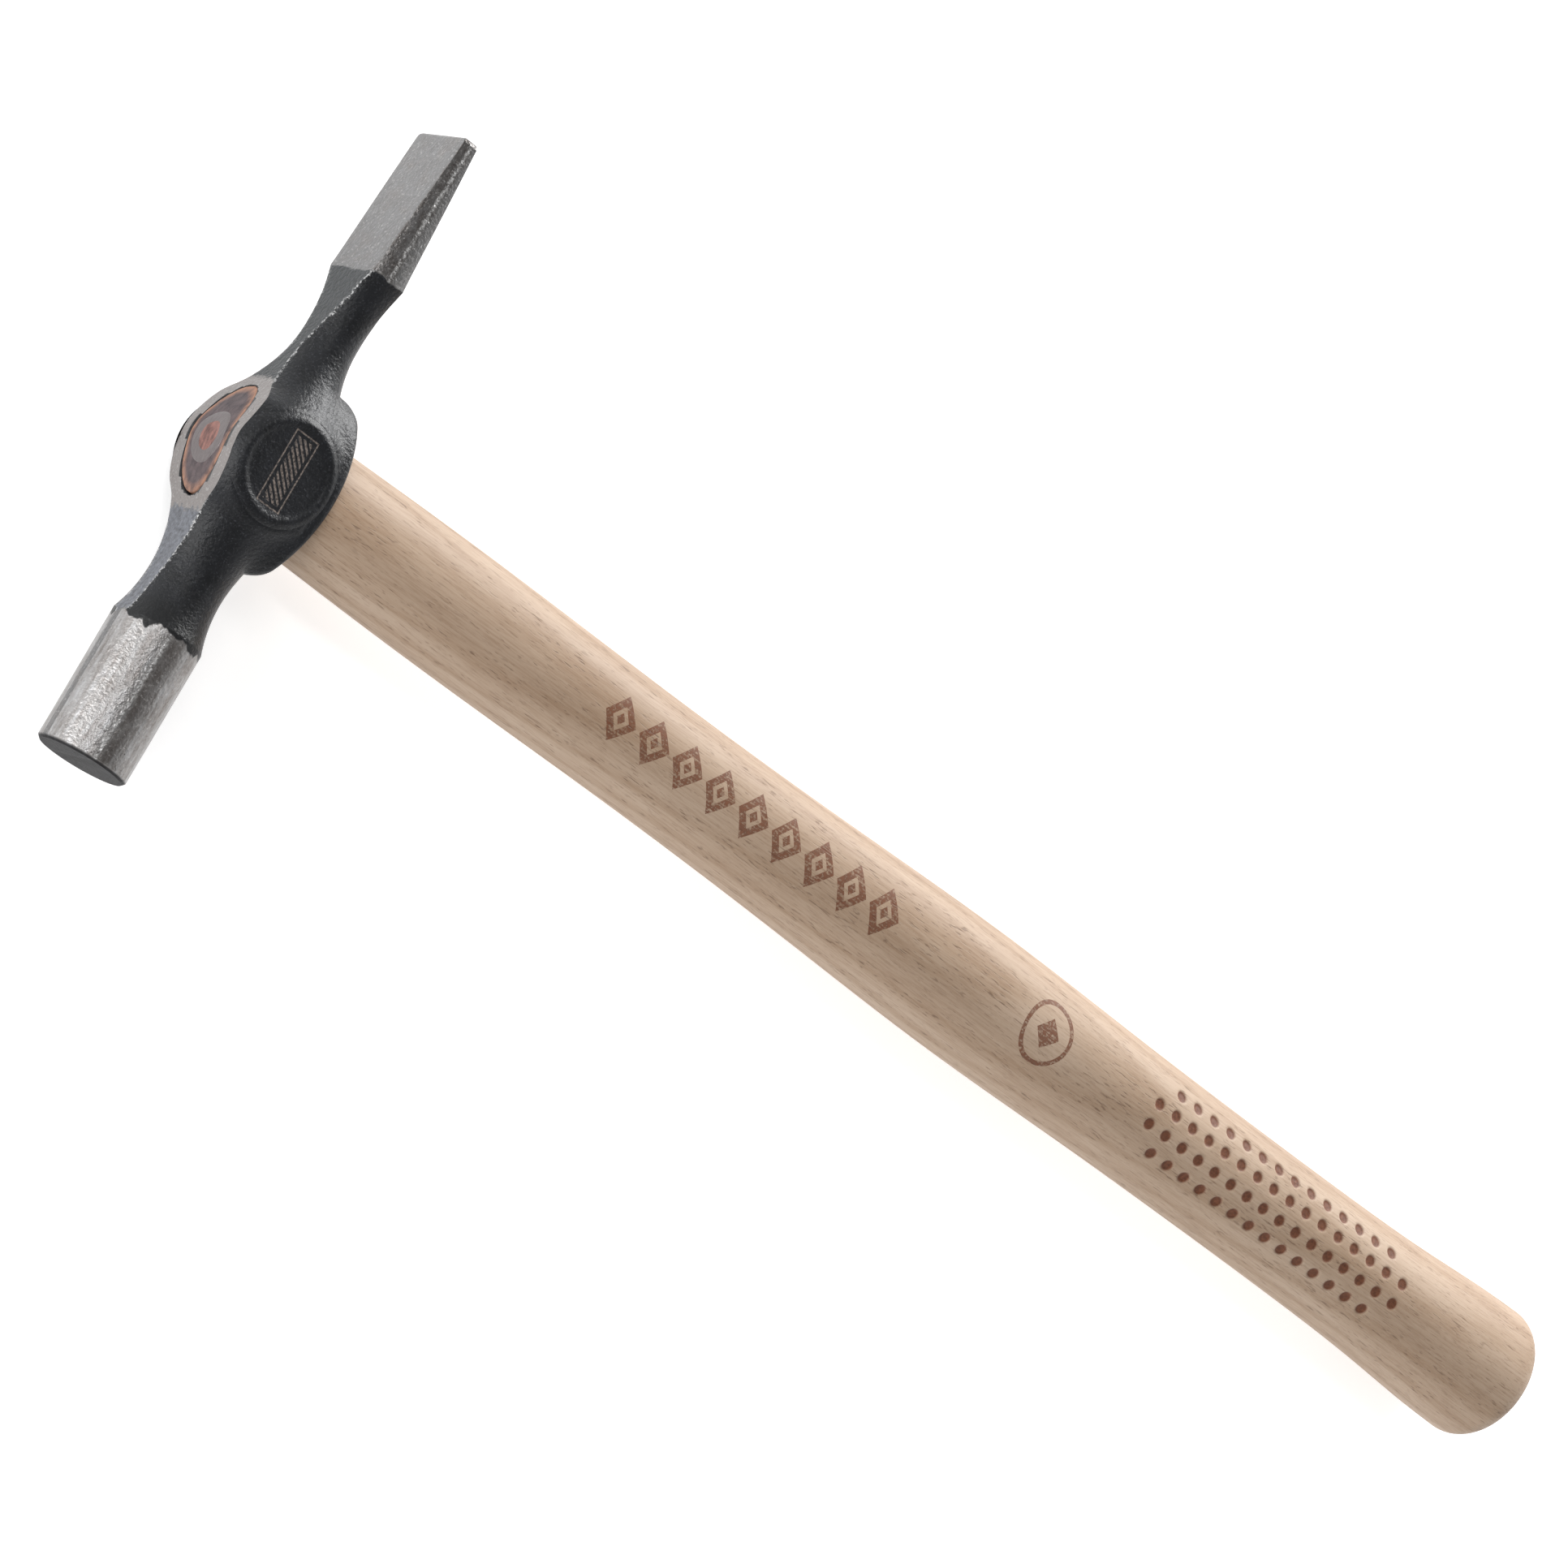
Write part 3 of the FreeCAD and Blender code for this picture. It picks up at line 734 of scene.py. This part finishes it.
    lip = n.math("SUBTRACT", 1.0, bare)
    paint_bump = n.bump(peel, 0.22, 0.75)
    steel_bump = n.bump(turning, 0.012, 0.5, paint_bump)
    normal = n.bump(lip, 0.05, 0.8, steel_bump)
    paint_rough = n.math("ADD", 0.26, n.math("MULTIPLY", peel, 0.22))
    steel_rough = n.math("ADD", 0.20, n.math("MULTIPLY", grains, 0.24))
    steel_rough = n.math("ADD", steel_rough, n.math("MULTIPLY", face, 0.35))
    rough = n.node("Mix", data_type="FLOAT")
    for socket, value in ((0, bare), (2, paint_rough), (3, steel_rough)):
        n.put(rough.inputs[socket], value)
    return n.finish(Base_Color=n.blend(bare, paint, steel), Metallic=n.math("MAXIMUM", bare, n.math(
        "MULTIPLY", worn, 0.6)), Roughness=rough.outputs[0], Normal=normal, Specular_IOR_Level=0.32)


def ring_material():
    n = Nodes("ground_ring_steel")
    spot = n.place()
    scratches = n.noise(n.vector("MULTIPLY", spot, (1.0, 0.6, 7.0)), 1.2, 4.0, 0.7)
    color = n.ramp(scratches, [(0.3, (0.12, 0.105, 0.105)), (0.7, (0.23, 0.205, 0.205))])
    return n.finish(Base_Color=color, Metallic=1.0, Roughness=n.math("ADD", 0.30, n.math(
        "MULTIPLY", scratches, 0.2)), Normal=n.bump(scratches, 0.02, 0.5))


def brand_mask(n, x, y, z):
    """Plain burnt marks on the shaft: a row of diamonds, then a ring round a diamond."""
    around = n.math("MULTIPLY", n.math("ARCTAN2", y, z), MARK_SHAFT_RADIUS)
    on_top = n.math("GREATER_THAN", z, 0.0)

    def diamond(along, half_length, half_width):
        return n.math("ADD", n.math("DIVIDE", n.math("ABSOLUTE", along), half_length),
                      n.math("DIVIDE", n.math("ABSOLUTE", around), half_width))

    into_row = n.math("DIVIDE", n.math("SUBTRACT", x, MARK_FIRST_X), MARK_PITCH)
    phase = n.math("SUBTRACT", n.math("FRACT", into_row), 0.5)
    size = diamond(n.math("MULTIPLY", phase, MARK_PITCH), MARK_HALF_LENGTH, MARK_HALF_WIDTH)
    hollow = n.math("MULTIPLY", n.math("LESS_THAN", size, 1.0), n.math("GREATER_THAN", size, 0.52))
    solid = n.math("LESS_THAN", size, 0.26)
    past_first = n.math("GREATER_THAN", x, MARK_FIRST_X)
    before_last = n.math("LESS_THAN", x, MARK_FIRST_X + MARK_PITCH * MARK_COUNT)
    row = n.math("MULTIPLY", n.math("MAXIMUM", hollow, solid), n.math("MULTIPLY", past_first, before_last))

    from_x = n.math("SUBTRACT", x, RING_MARK_X)
    distance = n.length(from_x, around)
    ring = n.math("MULTIPLY", n.math("LESS_THAN", distance, RING_MARK_OUTER),
                  n.math("GREATER_THAN", distance, RING_MARK_INNER))
    heart = n.math("LESS_THAN", diamond(from_x, RING_MARK_HEART, RING_MARK_HEART), 1.0)
    return n.math("MULTIPLY", n.math("MAXIMUM", row, n.math("MAXIMUM", ring, heart)), on_top)


def wood_material():
    """Pale sanded ash: long grain on the shaft, end grain on the tongue."""
    n = Nodes("pale_ash")
    spot = n.place()
    x, y, z = n.split(spot)[0:3]
    burn = n.node("Attribute", attribute_name="burn").outputs["Fac"]
    drift = n.noise(n.vector("MULTIPLY", spot, (0.012, 0.05, 0.05)), 1.0, 2.0)
    ring_y = n.math("ADD", y, n.math("MULTIPLY", n.math("SUBTRACT", drift, 0.5), 16.0))
    ring_z = n.math("ADD", n.math("SUBTRACT", z, n.math("MULTIPLY", x, 0.055)), 34.0)
    rings = n.length(ring_y, ring_z)
    year = n.math("FRACT", n.math("MULTIPLY", rings, 0.36))
    early = n.math("MULTIPLY", n.between(year, 0.0, 0.18), n.between(year, 0.60, 0.24))
    tone = n.noise(n.vector("MULTIPLY", spot, (0.02, 0.16, 0.16)), 1.0, 3.0)
    fibre = n.noise(n.vector("MULTIPLY", spot, (0.16, 3.4, 3.4)), 1.0, 4.0, 0.65)
    pores = n.noise(n.vector("MULTIPLY", spot, (0.42, 3.0, 3.0)), 1.0, 2.0, 0.5)
    pore = n.math("MULTIPLY", n.between(pores, 0.60, 0.69), n.between(early, -0.30, 0.55))
    sunken = n.noise(n.vector("MULTIPLY", spot, (0.34, 3.3, 3.3)), 1.3, 1.0, 0.4)
    fleck = n.between(sunken, 0.67, 0.73)
    color = n.ramp(tone, [(0.25, (0.330, 0.222, 0.148)), (0.5, (0.405, 0.288, 0.203)),
                          (0.78, (0.485, 0.368, 0.280))])
    color = n.blend(n.math("MULTIPLY", early, 0.52), color, (0.285, 0.178, 0.106, 1))
    color = n.blend(n.math("MULTIPLY", n.between(fibre, 0.35, 0.75), 0.40), color, (0.53, 0.425, 0.325, 1))
    color = n.blend(n.math("MULTIPLY", n.between(fibre, 0.50, 0.30), 0.35), color, (0.270, 0.185, 0.120, 1))
    color = n.blend(n.math("MULTIPLY", pore, 0.60), color, (0.14, 0.082, 0.050, 1))
    color = n.blend(n.math("MULTIPLY", fleck, 0.55), color, (0.16, 0.095, 0.060, 1))

    # end grain, ground and scorched by the wheel
    end = n.between(x, -4.0, -5.0)
    dirt = n.noise(n.vector("MULTIPLY", spot, (1.0, 0.5, 1.0)), 0.9, 4.0, 0.6)
    in_eye = n.vector("MULTIPLY", spot, (0.0, 1 / EYE_Y, 1 / EYE_Z))
    outward = n.node("VectorMath", {0: in_eye}, operation="LENGTH").outputs["Value"]
    core_y = n.math("SUBTRACT", y, RING_Y)
    from_ring = n.length(core_y, z)
    rim = n.math("MAXIMUM", n.between(outward, 0.80, 0.97), n.between(from_ring, RING_BORE + 0.4, RING_BORE))
    rim = n.math("MULTIPLY", rim, n.between(dirt, 0.25, 0.55))
    scorched = n.ramp(dirt, [(0.3, (0.038, 0.029, 0.033)), (0.7, (0.105, 0.078, 0.080))])
    scorched = n.blend(n.math("MULTIPLY", rim, 0.9), scorched, (0.36, 0.185, 0.115, 1))
    inside_ring = n.between(from_ring, RING_BORE + 0.3, RING_BORE)
    core = n.ramp(dirt, [(0.35, (0.085, 0.045, 0.042)), (0.6, (0.24, 0.115, 0.095))])
    scorched = n.blend(inside_ring, scorched, core)
    color = n.blend(end, color, scorched)

    char = n.noise(spot, 2.2, 3.0)
    burnt = n.ramp(char, [(0.3, (0.085, 0.023, 0.009)), (0.7, (0.170, 0.054, 0.024))])
    dotted = n.math("MULTIPLY", n.between(burn, 0.05, 0.75), 0.92)
    patchy = n.math("MULTIPLY", brand_mask(n, x, y, z), n.between(n.math("ADD", char, fibre), 0.72, 1.02))
    color = n.blend(n.math("MAXIMUM", dotted, n.math("MULTIPLY", patchy, 0.85)), color, burnt)
    bumps = n.bump(fibre, 0.03, 0.35)
    bumps = n.bump(pore, -0.06, 0.6, bumps)
    rough = n.math("ADD", 0.42, n.math("MULTIPLY", tone, 0.2))
    return n.finish(Base_Color=color, Roughness=rough, Normal=bumps, Specular_IOR_Level=0.22)


def floor_material():
    n = Nodes("pale_floor")
    spot = n.node("TexCoord").outputs["Object"]
    mottle = n.noise(spot, 6.0, 3.0)
    color = n.ramp(mottle, [(0.3, (0.90, 0.90, 0.90)), (0.7, (0.93, 0.93, 0.93))])
    return n.finish(Base_Color=color, Roughness=0.9, Emission_Color=(1, 1, 1, 1), Emission_Strength=0.50)


# --- the pieces

def assemble():
    metal = head_material()
    head = cut_eye(build_head())
    bosses = [build_boss(1), build_boss(-1)]
    for piece in [head, *bosses]:
        piece.data.materials.clear()
        piece.data.materials.append(metal)
        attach(piece, "root")
        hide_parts("head")
    handle = build_handle()
    handle.data.materials.append(wood_material())
    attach(handle, "root")
    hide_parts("handle")
    ring = build_ring()
    ring.data.materials.append(ring_material())
    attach(ring, "root")
    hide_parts("ring_wedge")


# --- floor, light and camera

def add_floor():
    points = [(-60, -60), (60, -60), (60, 60), (-60, 60)]
    mesh = bpy.data.meshes.new("floor")
    mesh.from_pydata([(a, b, -0.0002) for a, b in points], [], [(0, 1, 2, 3)])
    floor = bpy.data.objects.new("floor", mesh)
    bpy.context.scene.collection.objects.link(floor)
    mesh.materials.append(floor_material())


def add_world():
    """A studio tent: bright low down all round, dimmer overhead."""
    world = bpy.data.worlds.new("studio")
    bpy.context.scene.world = world
    world.use_nodes = True
    tree = world.node_tree
    direction = tree.nodes.new("ShaderNodeTexCoord").outputs["Generated"]
    split = tree.nodes.new("ShaderNodeSeparateXYZ")
    tree.links.new(direction, split.inputs[0])
    ramp = tree.nodes.new("ShaderNodeValToRGB")
    tree.links.new(split.outputs["Z"], ramp.inputs["Fac"])
    stops = ((0.0, 0.92), (0.36, 0.88), (0.62, 0.38), (1.0, 0.27))
    while len(ramp.color_ramp.elements) < len(stops):
        ramp.color_ramp.elements.new(0.5)
    for element, (place, level) in zip(ramp.color_ramp.elements, stops):
        element.position = place
        element.color = (level, level, level, 1)
    background = tree.nodes["Background"]
    tree.links.new(ramp.outputs["Color"], background.inputs["Color"])
    background.inputs["Strength"].default_value = 1.15


def aim(item, place, target, up=(0, 0, 1)):
    """Turns a lamp or camera at place to look at target."""
    forward = (Vector(target) - Vector(place)).normalized()
    right = forward.cross(Vector(up)).normalized()
    true_up = right.cross(forward)
    turn = Matrix((right, true_up, -forward)).transposed().to_4x4()
    item.matrix_world = Matrix.Translation(Vector(place)) @ turn


def add_lamp(name, place, size, power):
    data = bpy.data.lights.new(name, "AREA")
    data.shape = "ELLIPSE"
    data.size, data.size_y = size
    data.energy = power
    lamp = bpy.data.objects.new(name, data)
    bpy.context.scene.collection.objects.link(lamp)
    aim(lamp, place, ORIGIN)


def add_camera():
    """A long lens that looks down on the hammer from beyond the eye's crown."""
    data = bpy.data.cameras.new("camera")
    data.sensor_width = 36
    data.lens = 177
    data.clip_end = 50
    camera = bpy.data.objects.new("camera", data)
    bpy.context.scene.collection.objects.link(camera)
    place = ORIGIN + Vector((-532.7, -224.1, 1000.8)) * MM
    target = ORIGIN + Vector((109.48, 9.42, 0.0)) * MM
    aim(camera, place, target, up=(-0.5083, 0.8517, -0.1275))
    bpy.context.scene.camera = camera


assemble()
add_floor()
add_world()
add_lamp("side_softbox", ORIGIN + Vector((0.50, 0.90, 0.22)), (0.55, 0.55), 12.0)
add_lamp("low_softbox", ORIGIN + Vector((-0.9, -0.3, 0.35)), (0.8, 0.8), 6.0)
add_lamp("strip_softbox", ORIGIN + Vector((-0.50, 0.19, 0.84)), (0.07, 0.40), 1.6)
add_camera()
bpy.context.scene.view_settings.view_transform = "Standard"
